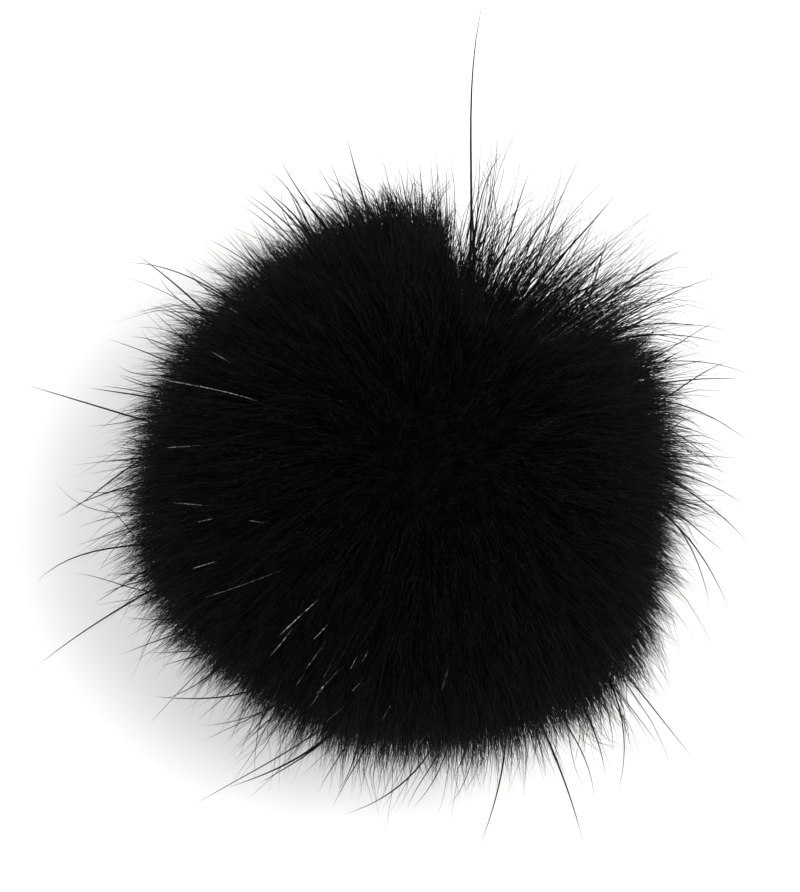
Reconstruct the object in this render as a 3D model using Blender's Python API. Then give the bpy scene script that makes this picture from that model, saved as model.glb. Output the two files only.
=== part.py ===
# A ball pom pom of short black fur. It lies on the drawn-in base of its skin, with the
# crown, the point that the fur grows away from, on top. Units are metres and +Z is up.
# The origin is the middle of the base, on the surface that the ball lies on.
#
# The ball is one closed mesh: a slightly uneven ball of close fur with a parting on its far
# side, a recess of thin fur beside that, and locks grown out of its faces. Most locks are
# short and stout. A few are long and thin: the guard hairs that stand out past the rest.

import math
import random

import bmesh
import bpy
from mathutils import Quaternion, Vector, noise
from mathutils.bvhtree import BVHTree

MM = 0.001

# The ball that the locks stand on. They are dense as far as 3 mm over it, which makes the
# close fur 68 mm across.
BODY_RADIUS = 31.0 * MM
BODY_HALF_HEIGHT = 31.0 * MM
CENTRE_HEIGHT = 29.5 * MM  # less than the half height, which leaves a flat base
BALL_SUBDIVISIONS = 3  # 320 faces, each of which may carry a lock
FACE_JITTER = 0.036  # how far the corners of those faces stray, in radii
FACE_RIM = 0.028  # bare rim round the root of a lock, in radii
SMALLEST_FACE = 0.048  # the least radius within a face that carries a lock, in radii
RUFFLE = 0.9 * MM  # depth of the small unevenness of the close fur
RUFFLE_SIZE = 7.0 * MM

# Places on the ball are given by two angles of the view from above and a little in front.
# A clock angle runs round that view, anticlockwise from the right. A depth angle runs from
# the middle of the view, 0 degrees, to the outline, 90 degrees, and on round the back.
VIEW_ELEVATION = math.radians(80)
VIEW_RIGHT = Vector((1, 0, 0))
VIEW_UP = Vector((0, math.sin(VIEW_ELEVATION), math.cos(VIEW_ELEVATION)))
VIEW_OUT = VIEW_RIGHT.cross(VIEW_UP)

# Broad swells and hollows of the outline: clock, depth, height in mm, width in degrees
SWELLS = (
    (310, 90, 2.3, 24),
    (24, 85, 1.3, 12),
    (4, 90, -0.9, 9),
    (344, 90, -1.9, 10),
    (142, 90, -2.0, 22),
    (236, 90, -0.6, 12),
)

# The parting runs from near the crown to the outline and fades on the far side
PARTING_CLOCK = 76
PARTING_START, PARTING_END = 24, 122  # depth angles
PARTING_FADE_IN, PARTING_FADE_OUT = 30, 15
PARTING_DEPTH = 3.0 * MM
PARTING_WIDTH = 2.4 * MM
PARTING_FINE = 7.0 * MM  # the ball's edges are halved this near to it

# Beside the parting the close fur stops at a level across the view, and longer, thinner
# locks stand up out of it. These are distances from the middle of the ball, in the view.
RECESS_LEVEL = 20.5 * MM
RECESS_SIDE = (4.4 * MM, 34.6 * MM)  # a point of the edge that the close fur has towards it
RECESS_SLOPE = -0.238
RECESS_FADE_IN = 5.0 * MM
RECESS_LEAN = 8  # to the right, in degrees
RECESS_LONGER = 0.95  # what its locks are longer by, of how deep it is there
FULL_RECESS = 5.0 * MM  # the depth at which they lean most
STEEP_EDGE = 3.0 * MM  # an edge of the ball is halved where it falls further than this

# The fur grows away from the crown
CROWN_CLOCK, CROWN_DEPTH = 50, 11
CROWN_CALM = 28  # degrees from the crown in which the fur comes to lie down
LEAN_ROOT, LEAN_TIP = 16, 60  # degrees from upright on the skin
UPRIGHT_ROOT = 0.7  # how far a lock leaves its face upright before it takes up its lean
PARTING_LEAN, PARTING_REACH = 8, 9.0 * MM  # how the parting turns the fur, in degrees

# The locks
MOST_LOCKS = 298
LOCK_LENGTH, LOCK_SPREAD = 8.2 * MM, 1.8 * MM
LOCK_STRAY = 9  # degrees
LOCK_WIDTHS = (0.93, 0.86, 0.66, 0.36)  # of its face's size, from the root to near the tip
LOCK_TRIES = 14
SHORTER = 0.94  # how much shorter the lock is at each try
LOCK_GAP = 0.3 * MM  # two locks are at least this far apart
ROOT_SHARE = 0.15  # above this share of its first stretch a lock is clear of the ball
LOWEST_ROOT = 2.0 * MM
SHORTEST_LOCK = 3.0 * MM
STOUTEST = 0.45  # the most that a lock's half width may be, of its length

# The long guard hairs that show on the outline, each as a thin lock: the clock angle of
# the tip, its reach from the ball's middle in mm, how far it lies round from the root, and
# how far round from upright the hair leaves its root, the last two in degrees
GUARDS = (
    (80.5, 61.0, 4, 17),
    (73.0, 44.5, 2, 0),
    (61.5, 47.0, 1, 0),
    (54.0, 44.5, 2, 0),
    (40.0, 45.5, -5, 0),
    (33.0, 48.0, -6, 0),
    (24.0, 44.0, -3, 0),
    (16.5, 45.0, -4, 0),
    (6.5, 42.5, -3, 0),
    (349.5, 43.5, -4, 0),
    (337.0, 44.0, -9, 0),
    (316.5, 52.0, -4, 0),
    (303.5, 47.5, -5, 0),
    (296.0, 50.0, 3, 0),
    (281.0, 47.5, -4, 0),
    (253.0, 44.0, -5, 0),
    (236.5, 48.5, -6, 0),
    (219.5, 42.5, -4, 0),
    (207.0, 51.5, 4, 0),
    (194.5, 48.0, 5, 0),
    (184.0, 44.0, 4, 0),
    (165.5, 49.5, 4, 0),
    (155.0, 42.0, 3, 0),
    (142.0, 44.5, 4, 0),
    (130.0, 41.0, 2, 0),
    (119.0, 42.5, 2, 0),
    (111.0, 43.5, 3, 0),
    (99.5, 44.5, 3, 0),
)
GUARD_WIDTH = 0.5 * MM
GUARD_WIDTHS = (1.0, 0.82, 0.62, 0.4)  # of the width, from the root to near the tip
GUARD_BEND = 0.45  # how far out the hair runs straight before it bends, of its length

# Guard hairs on the rest of the ball, spread evenly
FREE_GUARD_PLACES = 24
FREE_GUARD_REACH, FREE_GUARD_SPREAD = 44.5 * MM, 2.5 * MM
FREE_GUARD_STRAY = 11  # degrees
OUTLINE_DEPTHS = 65, 115  # none in this band, where the table has placed them

# Where the ball is pressed on the surface it lies on
SPLAY_START, SPLAY_FULL = -0.18, -0.75  # heights on the ball, of its half height
SPLAY_SHARE, SPLAY_DROP = 0.85, -0.35
REST_GAP = 0.12 * MM  # a lock's sides stay this far above the surface, and its tip meets it

FUR_BLACK = (0.006, 0.006, 0.007, 1.0)
FUR_ROUGHNESS = 0.45

CENTRE = Vector((0, 0, CENTRE_HEIGHT))


def direction(clock, depth):
    """The direction from the middle of the ball at these two angles of the view."""
    clock, depth = math.radians(clock), math.radians(depth)
    across = VIEW_RIGHT * math.cos(clock) + VIEW_UP * math.sin(clock)
    return across * math.sin(depth) + VIEW_OUT * math.cos(depth)


CROWN = direction(CROWN_CLOCK, CROWN_DEPTH)
PARTING_RIM = direction(PARTING_CLOCK, 90)
PARTING_LEFT = VIEW_OUT.cross(PARTING_RIM)


def smooth(value, low, high):
    """0 at low, 1 at high, and an even curve between them."""
    share = min(1.0, max(0.0, (value - low) / (high - low)))
    return share * share * (3 - 2 * share)


def bump(distance, width):
    return math.exp(-((distance / width) ** 2))


def off_parting(way):
    """How far this way is off the parting's line, in metres along the ball, right below 0."""
    return BODY_RADIUS * math.asin(max(-1.0, min(1.0, way.dot(PARTING_LEFT))))


def parting_strength(way):
    """How deep the parting is at this way's place along it, from 0 to 1."""
    if way.dot(PARTING_RIM) <= 0:
        return 0.0
    depth = math.degrees(way.angle(VIEW_OUT))
    fading_in = smooth(depth, PARTING_START, PARTING_START + PARTING_FADE_IN)
    return fading_in * (1 - smooth(depth, PARTING_END - PARTING_FADE_OUT, PARTING_END))


def recess_fall(way):
    """How far the close fur's surface is sunk here, in metres."""
    across, up = BODY_RADIUS * way.dot(VIEW_RIGHT), BODY_RADIUS * way.dot(VIEW_UP)
    edge = RECESS_SIDE[0] + RECESS_SLOPE * (up - RECESS_SIDE[1])
    window = smooth(across - edge, -0.5 * MM, RECESS_FADE_IN)
    return window * max(BODY_RADIUS - RECESS_LEVEL / max(way.dot(VIEW_UP), 0.1), 0.0)


def on_body(way):
    """The point of the close fur's surface that lies this way from the middle of the ball."""
    plain = Vector((way.x * BODY_RADIUS, way.y * BODY_RADIUS, way.z * BODY_HALF_HEIGHT))
    rise = RUFFLE * noise.noise(plain / RUFFLE_SIZE)
    for clock, depth, height, width in SWELLS:
        rise += height * MM * bump(math.degrees(way.angle(direction(clock, depth))), width)
    rise -= PARTING_DEPTH * parting_strength(way) * bump(off_parting(way), PARTING_WIDTH)
    rise -= recess_fall(way)
    return CENTRE + plain + way * rise


def inradius(face):
    return 2 * face.calc_area() / sum(edge.calc_length() for edge in face.edges)


def face_size(face):
    """How far the corners are from the middle, on average."""
    middle = face.calc_center_median()
    return sum((vert.co - middle).length for vert in face.verts) / len(face.verts)


def make_body():
    """The ball of close fur, pressed flat at its base, and its faces that may carry a lock."""
    bm = bmesh.new()
    bmesh.ops.create_icosphere(bm, subdivisions=BALL_SUBDIVISIONS, radius=1.0)

    def by_parting(edge):
        way = (edge.verts[0].co + edge.verts[1].co).normalized()
        return parting_strength(way) > 0.1 and abs(off_parting(way)) < PARTING_FINE

    def steep(edge):
        high, low = (recess_fall(vert.co.normalized()) for vert in edge.verts)
        return abs(high - low) > STEEP_EDGE

    fine = [edge for edge in bm.edges if by_parting(edge) or steep(edge)]
    bmesh.ops.subdivide_edges(bm, edges=fine, cuts=1)
    bmesh.ops.triangulate(bm, faces=bm.faces)
    dice = random.Random(11)
    for vert in bm.verts:
        vert.co += Vector([dice.uniform(-1, 1) * FACE_JITTER for _ in range(3)])

    roots = [face for face in bm.faces if inradius(face) > SMALLEST_FACE]
    rims = bmesh.ops.inset_individual(bm, faces=roots, thickness=FACE_RIM, use_even_offset=True)
    bmesh.ops.triangulate(bm, faces=rims["faces"])
    for vert in bm.verts:
        vert.co = on_body(vert.co.normalized())
        vert.co.z = max(vert.co.z, 0.0)
    bm.normal_update()
    return bm, roots


def fur_lie(way):
    """Which way the fur lies here: away from the crown, and aside, away from the parting."""
    away = (way * CROWN.dot(way) - CROWN).normalized()
    turn = math.radians(PARTING_LEAN) * parting_strength(way)
    off = off_parting(way)
    sideways = (PARTING_LEFT - way * PARTING_LEFT.dot(way)).normalized()
    aside = math.copysign(math.sin(turn) * bump(off, PARTING_REACH), off)
    aside -= math.sin(math.radians(RECESS_LEAN)) * min(recess_fall(way) / FULL_RECESS, 1)
    return away, sideways * aside


def lock_path(face, length, lean_more, stray, steps):
    """The points of a lock from its root, and the way that it runs from each of them."""
    root = face.calc_center_median()
    way = (root - CENTRE).normalized()
    away, aside = fur_lie(way)
    calm = smooth(math.degrees(way.angle(CROWN)), 0, CROWN_CALM)
    splay = SPLAY_SHARE * smooth(-way.z, -SPLAY_START, -SPLAY_FULL)
    outward = Vector((way.x, way.y, 0)).normalized() + Vector((0, 0, SPLAY_DROP))
    across = way.cross(away)
    points, runs = [root.copy()], []
    for step in range(steps):
        lean = LEAN_ROOT + (LEAN_TIP - LEAN_ROOT) * (step + 0.5) / steps
        lean = math.radians(lean * calm + lean_more)
        run = way * math.cos(lean) + away * math.sin(lean) + aside
        run += across * math.sin(math.radians(stray))
        run = run.normalized().lerp(outward, splay).normalized()
        run = run.lerp(face.normal, UPRIGHT_ROOT * (1 - step / steps) ** 2).normalized()
        runs.append(run)
        points.append(points[-1] + run * (length / steps))
    if points[-1].z < 0:
        # A shorter lock, whose tip comes to rest on the surface
        share = root.z / (root.z - points[-1].z)
        points = [root + (point - root) * share for point in points]
    return points, runs


def guard_path(root, tip, leave, steps):
    """The points of a hair that leaves the ball this far from upright and bends to its tip."""
    start = Quaternion(VIEW_OUT, math.radians(leave)) @ (root - CENTRE).normalized()
    bend = root + start * (tip - root).length * GUARD_BEND
    points, runs = [], []
    for i in range(steps + 1):
        t = i / steps
        points.append(root * (1 - t) ** 2 + bend * 2 * t * (1 - t) + tip * t * t)
        runs.append(((bend - root) * (1 - t) + (tip - bend) * t).normalized())
    return points, runs


class Lock:
    """A tapering stem on the corners of one of the ball's faces, ring by ring to its tip."""

    def __init__(self, face, points, runs, widths):
        self.face = face
        upright, size = face.normal.copy(), face_size(face)
        corners = [(vert.co - face.calc_center_median()) / size for vert in face.verts]
        self.rings = []
        for i, width in enumerate(widths):
            turn = upright.rotation_difference(runs[i] if i else upright)
            ring = [points[i] + turn @ (corner * width) for corner in corners]
            for corner in ring:
                if i:
                    corner.z = max(corner.z, REST_GAP)
            self.rings.append(ring)
        self.tip = points[-1].copy()
        self.tip.z = max(self.tip.z, 0.0)
        self.middle = (points[0] + self.tip) / 2
        self.reach = (self.tip - points[0]).length / 2 + max(widths)

    def skin(self, bare=0.0):
        """The sides to the tip, less this share of the first stretch, to test what they meet."""
        start = [low.lerp(high, bare) for low, high in zip(*self.rings[:2])]
        corners = [corner for ring in [start, *self.rings[1:]] for corner in ring] + [self.tip]
        sides = []
        for start in range(0, len(corners) - 4, 3):
            for i in range(3):
                j = (i + 1) % 3
                sides.append((start + i, start + j, start + 3 + j, start + 3 + i))
        last = len(corners) - 1
        sides += [(last - 3 + i, last - 3 + (i + 1) % 3, last) for i in range(3)]
        return BVHTree.FromPolygons(corners, sides)

    def grow(self, bm):
        face = self.face
        for ring in self.rings:
            face = bmesh.ops.extrude_discrete_faces(bm, faces=[face])["faces"][0]
            for vert, corner in zip(face.verts, ring):
                vert.co = corner
        bmesh.ops.poke(bm, faces=[face])["verts"][0].co = self.tip


def spread(count):
    """Directions spread evenly over a ball, from the top down."""
    golden = math.pi * (3 - math.sqrt(5))
    for i in range(count):
        z = 1 - 2 * (i + 0.5) / count
        ring = math.sqrt(1 - z * z)
        yield Vector((ring * math.cos(golden * i), ring * math.sin(golden * i), z))


class Fur:
    """The locks that have been kept so far, and the faces that are still free."""

    def __init__(self, body, roots):
        self.body = BVHTree.FromBMesh(body)
        self.locks, self.skins = [], []
        self.free = {}
        for face in roots:
            middle = face.calc_center_median()
            if middle.z > LOWEST_ROOT:
                self.free[face] = (middle - CENTRE).normalized()

    def nearest(self, way):
        return max(self.free, key=lambda face: self.free[face].dot(way))

    def keep_if_clear(self, face, points, runs, widths):
        """Keep a lock here if it meets neither the ball past its root nor another lock."""
        lock = Lock(face, points, runs, widths)
        wide = Lock(face, points, runs, [width + LOCK_GAP / 2 for width in widths]).skin()
        if lock.skin(bare=ROOT_SHARE).overlap(self.body):
            return False
        for other, skin in zip(self.locks, self.skins):
            near = (lock.middle - other.middle).length < lock.reach + other.reach + LOCK_GAP
            if near and wide.overlap(skin):
                return False
        self.free.pop(face)
        self.locks.append(lock)
        self.skins.append(wide)
        return True


def add_outline_guards(fur):
    widths = [GUARD_WIDTH * width for width in GUARD_WIDTHS]
    for clock, reach, swing, leave in GUARDS:
        face = fur.nearest(direction(clock - swing, 90))
        tip = CENTRE + direction(clock, 90) * reach * MM
        points, runs = guard_path(face.calc_center_median(), tip, leave, len(widths))
        if not fur.keep_if_clear(face, points, runs, widths):
            print(f"no room for the guard hair at {clock}")


def add_free_guards(fur, dice):
    widths = [GUARD_WIDTH * width for width in GUARD_WIDTHS]
    for way in spread(FREE_GUARD_PLACES):
        depth = math.degrees(way.angle(VIEW_OUT))
        if OUTLINE_DEPTHS[0] < depth < OUTLINE_DEPTHS[1] or way.z < SPLAY_START:
            continue
        face = fur.nearest(way)
        root = face.calc_center_median()
        reach = FREE_GUARD_REACH + dice.uniform(-1, 1) * FREE_GUARD_SPREAD
        length = reach - (root - CENTRE).length
        stray = dice.uniform(-1, 1) * FREE_GUARD_STRAY
        fur.keep_if_clear(face, *lock_path(face, length, 0, stray, len(widths)), widths)


def add_locks(fur, dice):
    for face in sorted(fur.free, key=lambda face: -fur.free[face].z):
        if len(fur.locks) == MOST_LOCKS:
            break
        size = face_size(face)
        full_length = LOCK_LENGTH + RECESS_LONGER * recess_fall(fur.free[face])
        for attempt in range(LOCK_TRIES):
            length = (full_length + dice.uniform(-1, 1) * LOCK_SPREAD) * SHORTER**attempt
            lean_more = dice.uniform(-1, 1) * LOCK_STRAY
            stray = dice.uniform(-1, 1) * LOCK_STRAY
            points, runs = lock_path(face, length, lean_more, stray, len(LOCK_WIDTHS))
            length = (points[-1] - points[0]).length
            widths = [min(size, length * STOUTEST) * width for width in LOCK_WIDTHS]
            if length > SHORTEST_LOCK and fur.keep_if_clear(face, points, runs, widths):
                break


def make_fur_ball():
    bm, roots = make_body()
    fur = Fur(bm, roots)
    dice = random.Random(5)
    add_outline_guards(fur)
    add_free_guards(fur, dice)
    add_locks(fur, dice)
    for lock in fur.locks:
        lock.grow(bm)
    triangles = sum(len(face.verts) - 2 for face in bm.faces)
    print(f"{len(fur.locks)} locks, {len(fur.free)} faces bare, {triangles} triangles")
    return bm


def fur_material():
    material = bpy.data.materials.new("black_fur")
    material.use_nodes = True
    shader = material.node_tree.nodes["Principled BSDF"]
    shader.inputs["Base Color"].default_value = FUR_BLACK
    shader.inputs["Roughness"].default_value = FUR_ROUGHNESS
    shader.inputs["Metallic"].default_value = 0.0
    return material


def main():
    for old in list(bpy.data.objects):
        bpy.data.objects.remove(old)
    pom_pom = bpy.data.collections.new("pom_pom")
    bpy.context.scene.collection.children.link(pom_pom)

    bm = make_fur_ball()
    mesh = bpy.data.meshes.new("fur_ball")
    bm.to_mesh(mesh)
    bm.free()
    mesh.materials.append(fur_material())
    pom_pom.objects.link(bpy.data.objects.new("fur_ball", mesh))


main()
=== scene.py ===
import math

import bmesh
import bpy
import numpy as np
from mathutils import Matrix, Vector, noise
from mathutils.kdtree import KDTree


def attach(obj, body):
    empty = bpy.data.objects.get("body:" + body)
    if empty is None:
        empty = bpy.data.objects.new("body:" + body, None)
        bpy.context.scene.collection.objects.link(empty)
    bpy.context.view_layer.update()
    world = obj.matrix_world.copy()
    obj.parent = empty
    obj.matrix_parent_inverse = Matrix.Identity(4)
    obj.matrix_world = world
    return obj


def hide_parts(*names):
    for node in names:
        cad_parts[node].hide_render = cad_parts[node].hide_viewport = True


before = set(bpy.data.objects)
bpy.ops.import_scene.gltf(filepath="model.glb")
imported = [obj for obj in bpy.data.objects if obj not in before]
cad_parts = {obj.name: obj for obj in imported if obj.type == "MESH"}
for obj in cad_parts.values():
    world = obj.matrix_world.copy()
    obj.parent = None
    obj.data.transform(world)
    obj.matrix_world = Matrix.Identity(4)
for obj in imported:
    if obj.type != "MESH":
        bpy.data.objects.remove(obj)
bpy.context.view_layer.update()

# A ball pom pom of short black fur, lying on its drawn-in base. Its hairs are modelled one
# by one, as thin closed tubes that draw together into tufts, over a ball of close under-fur.
# Sizes are real ones, in metres. Each random draw has a fixed seed.

mm = 0.001

ball = {
    "radius": 34.0 * mm,  # to the surface of the close fur
    "halfHeight": 32.0 * mm,
    "centreHeight": 29.5 * mm,
    "viewElevation": 80,  # the ball is described as it looks from here, in degrees
    "crownClock": 50,  # where the hairs part on top, as a clock and a depth
    "crownDepth": 11,
    "crownCalm": 28,  # degrees round the crown in which they stand straighter
}

# Broad swells and hollows of the outline: clock, depth, height in mm, width in degrees
swells = [
    (317, 90, 4.2, 25),
    (27, 87, 2.8, 15),
    (3, 90, 0.9, 9),
    (342, 90, 0.1, 8),
    (331, 90, 0.7, 8),
    (93, 90, 3.4, 16),
    (138, 90, -0.9, 14),
    (198, 90, 1.6, 24),
    (240, 90, -1.9, 12),
    (256, 90, 0.7, 8),
]

# Beside the parting the fur is thin: most of it stops at a level across the view, and long
# hairs stand on past it. Level and side are distances from the middle of the ball, in the view.
recess = {
    "level": 17.8 * mm,
    "side": (5.8 * mm, 34.6 * mm),  # a point of the edge that the close fur has towards it
    "slope": -0.14,  # of that edge
    "fade": (-0.5 * mm, 4.5 * mm),  # across the edge, from no recess to the whole of it
    "leastUp": 0.1,  # no lower on the ball than this share of its radius
    "fullAt": 7.0 * mm,  # the fall where the recess is at its barest
    "longRise": (5.0 * mm, 18.8 * mm),  # of the long hairs
    "paintedGlintShare": 0.12,  # of the long hairs, that are coloured lighter as a painted glint
    "hold": 0.12,  # how much more its hairs are drawn to their tufts
    "lean": 7,  # to the right, in degrees
}

parting = {
    "clock": 78,
    "start": 24,  # depths in degrees
    "end": 122,
    "fadeIn": 30,
    "fadeOut": 15,
    "depth": 2.0 * mm,
    "width": 2.4 * mm,
    "lean": 4,  # of the hairs, away from it, in degrees
    "reach": 7.0 * mm,
}

view = {
    "pixelsPerMm": 8.0,  # at the middle of the ball
    "imageHeight": 892,
    "imageWidth": 800,
    "ballAt": (405, 482),  # where the ball's middle shows, in pixels
    "lens": 120.0,
    "film": 36.0,
    "nearest": 0.01,  # that the camera shows, in metres
}
viewDistance = view["imageHeight"] / view["pixelsPerMm"] * mm * view["lens"] / view["film"]
viewMiddle = (  # what the camera looks at, across and up from the middle of the ball
    (view["imageWidth"] / 2 - view["ballAt"][0]) / view["pixelsPerMm"] * mm,
    (view["ballAt"][1] - view["imageHeight"] / 2) / view["pixelsPerMm"] * mm,
)
centre = np.array([0, 0, ball["centreHeight"]])
elevation = math.radians(ball["viewElevation"])
viewRight = np.array([1.0, 0, 0])
viewUp = np.array([0, math.sin(elevation), math.cos(elevation)])
viewOut = np.cross(viewRight, viewUp)


def unit(vectors):
    return vectors / np.linalg.norm(vectors, axis=-1, keepdims=True)


def smoothStep(value, low, high):
    share = np.clip((value - low) / (high - low), 0, 1)
    return share * share * (3 - 2 * share)


def bump(distance, width):
    return np.exp(-((distance / width) ** 2))


# A clock runs round the view in degrees, anticlockwise from the right. A depth runs from the
# middle of the view, 0, to the outline, 90, and on round the back. Ways are directions from
# the middle of the ball, in rows.
def direction(clock, depth):
    clock, depth = np.radians(clock), np.radians(depth)
    across = np.multiply.outer(np.cos(clock), viewRight) + np.multiply.outer(np.sin(clock), viewUp)
    return across * np.sin(depth)[..., None] + np.multiply.outer(np.cos(depth), viewOut)


crown = direction(ball["crownClock"], ball["crownDepth"])
partingRim = direction(parting["clock"], 90)
partingLeft = np.cross(viewOut, partingRim)


def depthOf(ways):
    return np.degrees(np.arccos(np.clip(ways @ viewOut, -1, 1)))


def offParting(ways):
    return ball["radius"] * np.arcsin(np.clip(ways @ partingLeft, -1, 1))


def partingStrength(ways):
    depth = depthOf(ways)
    fadingIn = smoothStep(depth, parting["start"], parting["start"] + parting["fadeIn"])
    fadingOut = 1 - smoothStep(depth, parting["end"] - parting["fadeOut"], parting["end"])
    return np.where(ways @ partingRim > 0, fadingIn * fadingOut, 0)


def clockFrom(ways, clock):
    turned = np.degrees(np.arctan2(ways @ viewUp, ways @ viewRight)) - clock
    return (turned + 180) % 360 - 180


# How far the close fur's surface is sunk in the recess
def recessFall(ways):
    across, up = ball["radius"] * (ways @ viewRight), ball["radius"] * (ways @ viewUp)
    edge = recess["side"][0] + recess["slope"] * (up - recess["side"][1])
    window = smoothStep(across - edge, *recess["fade"])
    reach = recess["level"] / np.maximum(ways @ viewUp, recess["leastUp"])
    return window * np.maximum(ball["radius"] - reach, 0)


def recessShare(ways):
    return np.minimum(recessFall(ways) / recess["fullAt"], 1)


# The places that show at these distances across and up in the view, this far towards it
def inView(across, up, toward):
    nearer = 1 - toward / viewDistance
    across = viewMiddle[0] + (across - viewMiddle[0]) * nearer
    up = viewMiddle[1] + (up - viewMiddle[1]) * nearer
    lifts = np.multiply.outer(up, viewUp) + np.multiply.outer(toward, viewOut)
    return centre + np.multiply.outer(across, viewRight) + lifts


# The surface of the close fur
def surfaceAt(ways):
    rise = np.zeros(len(ways))
    for clock, depth, height, width in swells:
        off = np.degrees(np.arccos(np.clip(ways @ direction(clock, depth), -1, 1)))
        rise += height * mm * bump(off, width)
    rise -= parting["depth"] * partingStrength(ways) * bump(offParting(ways), parting["width"])
    rise -= recessFall(ways)
    axes = np.array([ball["radius"], ball["radius"], ball["halfHeight"]])
    return centre + ways * axes + ways * rise[:, None]


growth = {
    "leanRoot": 6,  # degrees from upright on the skin
    "leanTip": 56,
    "waves": 7,  # laid over one another
    "waveHeight": 2.6,  # of their sum
    "waveLean": (4, 9),  # how far the fur's waves turn it, in degrees, and how fine they are
    "waveStray": (6, 12),
    "tipTurn": 1.5,  # how much more than the rest of its hair a tip is turned
    "tipAside": 1.6,  # as much beside the parting and in the recess
    "splayStart": -0.18,  # heights on the ball, of its half height, where it is pressed
    "splayFull": -0.75,
    "splayShare": 0.85,
    "splayDrop": -0.35,
    "splaySoon": 1.6,  # how early along a hair it is splayed
    "comb": (-0.08, -0.3, 0),  # the way that the tips are combed over
    "shortest": 1.5 * mm,
    "softFloor": 1.6 * mm,  # below this height the hairs are pressed together
    "restGap": 0.1 * mm,
}


# Smooth waves over the ball, from about -1 to 1
def waves(ways, fineness, seed):
    dice = np.random.default_rng(seed)
    total = np.zeros(len(ways))
    for _ in range(growth["waves"]):
        total += np.sin(ways @ (unit(dice.normal(size=3)) * fineness) + dice.uniform(0, 2 * math.pi))
    return total / growth["waveHeight"]


# The paths of hairs from their roots to their rise over the close fur's surface, with one row
# of points for each hair. How much more they lean and stray is in degrees.
def growPaths(ways, rootDepth, rises, leanMore, stray, steps):
    away = unit(ways * (ways @ crown)[:, None] - crown)
    off = offParting(ways)
    sideways = unit(partingLeft - ways * (ways @ partingLeft)[:, None])
    turn = np.radians(parting["lean"]) * partingStrength(ways)
    aside = sideways * (np.sign(off) * np.sin(turn) * bump(off, parting["reach"]))[:, None]
    aside -= sideways * (math.sin(math.radians(recess["lean"])) * recessShare(ways))[:, None]
    comb = np.array(growth["comb"])
    calm = smoothStep(np.degrees(np.arccos(np.clip(ways @ crown, -1, 1))), 0, ball["crownCalm"])
    splay = growth["splayShare"] * smoothStep(-ways[:, 2], -growth["splayStart"], -growth["splayFull"])
    level = ways * (1, 1, 0)
    outward = level / np.maximum(np.linalg.norm(level, axis=1, keepdims=True), 1e-6)
    outward = outward + (0, 0, growth["splayDrop"])
    across = np.cross(ways, away)
    turned, fineness = growth["waveLean"]
    leanMore = leanMore + turned * waves(ways, fineness, 3)
    turned, fineness = growth["waveStray"]
    stray = stray + turned * waves(ways, fineness, 4)
    shares = (np.arange(steps) + 0.5) / steps
    leans = growth["leanRoot"] + (growth["leanTip"] - growth["leanRoot"]) * shares[:, None]
    leans = np.radians(leans * calm + leanMore * shares[:, None] * growth["tipTurn"])
    length = np.maximum(rootDepth + rises, growth["shortest"]) / np.cos(leans).mean(0)
    points = [surfaceAt(ways) - ways * rootDepth]
    for share, lean in zip(shares, leans[:, :, None]):
        run = ways * np.cos(lean) + away * np.sin(lean) + aside * share * growth["tipAside"]
        strayed = np.sin(np.radians(stray * share * growth["tipTurn"]))[:, None]
        run = unit(run + comb * share + across * strayed)
        run = unit(run + (outward - run) * (splay * min(1, share * growth["splaySoon"]))[:, None])
        points.append(points[-1] + run * length[:, None] / steps)
    return np.stack(points, 1)


# Hairs that reach the floor are pressed down level on it
def restOnFloor(paths):
    low, gap = growth["softFloor"], growth["restGap"]
    height = paths[..., 2]
    pressed = low * np.exp((np.minimum(height, low) - low) / low)
    paths[..., 2] = np.maximum(np.where(height < low, pressed, height), gap)
    return paths


# Evenly spread directions with a little disorder
def spread(count, seed, disorder):
    dice = np.random.default_rng(seed)
    turn = math.pi * (3 - math.sqrt(5)) * np.arange(count)
    z = 1 - 2 * (np.arange(count) + 0.5) / count
    ring = np.sqrt(1 - z * z)
    ways = np.stack([ring * np.cos(turn), ring * np.sin(turn), z], 1)
    step = math.sqrt(4 * math.pi / count)
    return unit(ways + dice.normal(size=ways.shape) * step * disorder)


def nearestOf(ways, others):
    tree = KDTree(len(others))
    for i, way in enumerate(others):
        tree.insert(way, i)
    tree.balance()
    return np.array([tree.find(way)[1] for way in ways])


def lengthsOf(paths):
    return np.linalg.norm(np.diff(paths, axis=1), axis=2).sum(1)


holdCurve = 1.4  # how late along a hair the pull of its tuft sets in


# Draws the hairs towards the paths of their own tufts, most at their tips, and keeps their
# lengths
def drawTogether(paths, ownTufts, hold):
    share = np.linspace(0, 1, paths.shape[1])
    along = share * np.minimum(lengthsOf(paths) / lengthsOf(ownTufts), 1)[:, None]
    along = along * (ownTufts.shape[1] - 1)
    step = np.minimum(along.astype(int), ownTufts.shape[1] - 2)
    row = np.arange(len(paths))[:, None]
    between = (along - step)[..., None]
    onTuft = ownTufts[row, step] * (1 - between) + ownTufts[row, step + 1] * between
    return paths + (onTuft - paths) * np.multiply.outer(hold, share**holdCurve)[..., None]


def newObject(name, data):
    made = bpy.data.objects.new(name, data)
    bpy.context.scene.collection.objects.link(made)
    return made


tube = {
    "lowest": 0.02 * mm,  # of its faces, over the floor
    "rootCap": 0.04,  # the part of the map's height that the cap over the root has
    "column": 0.02,  # the part of the map's width that one hair has
}


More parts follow.
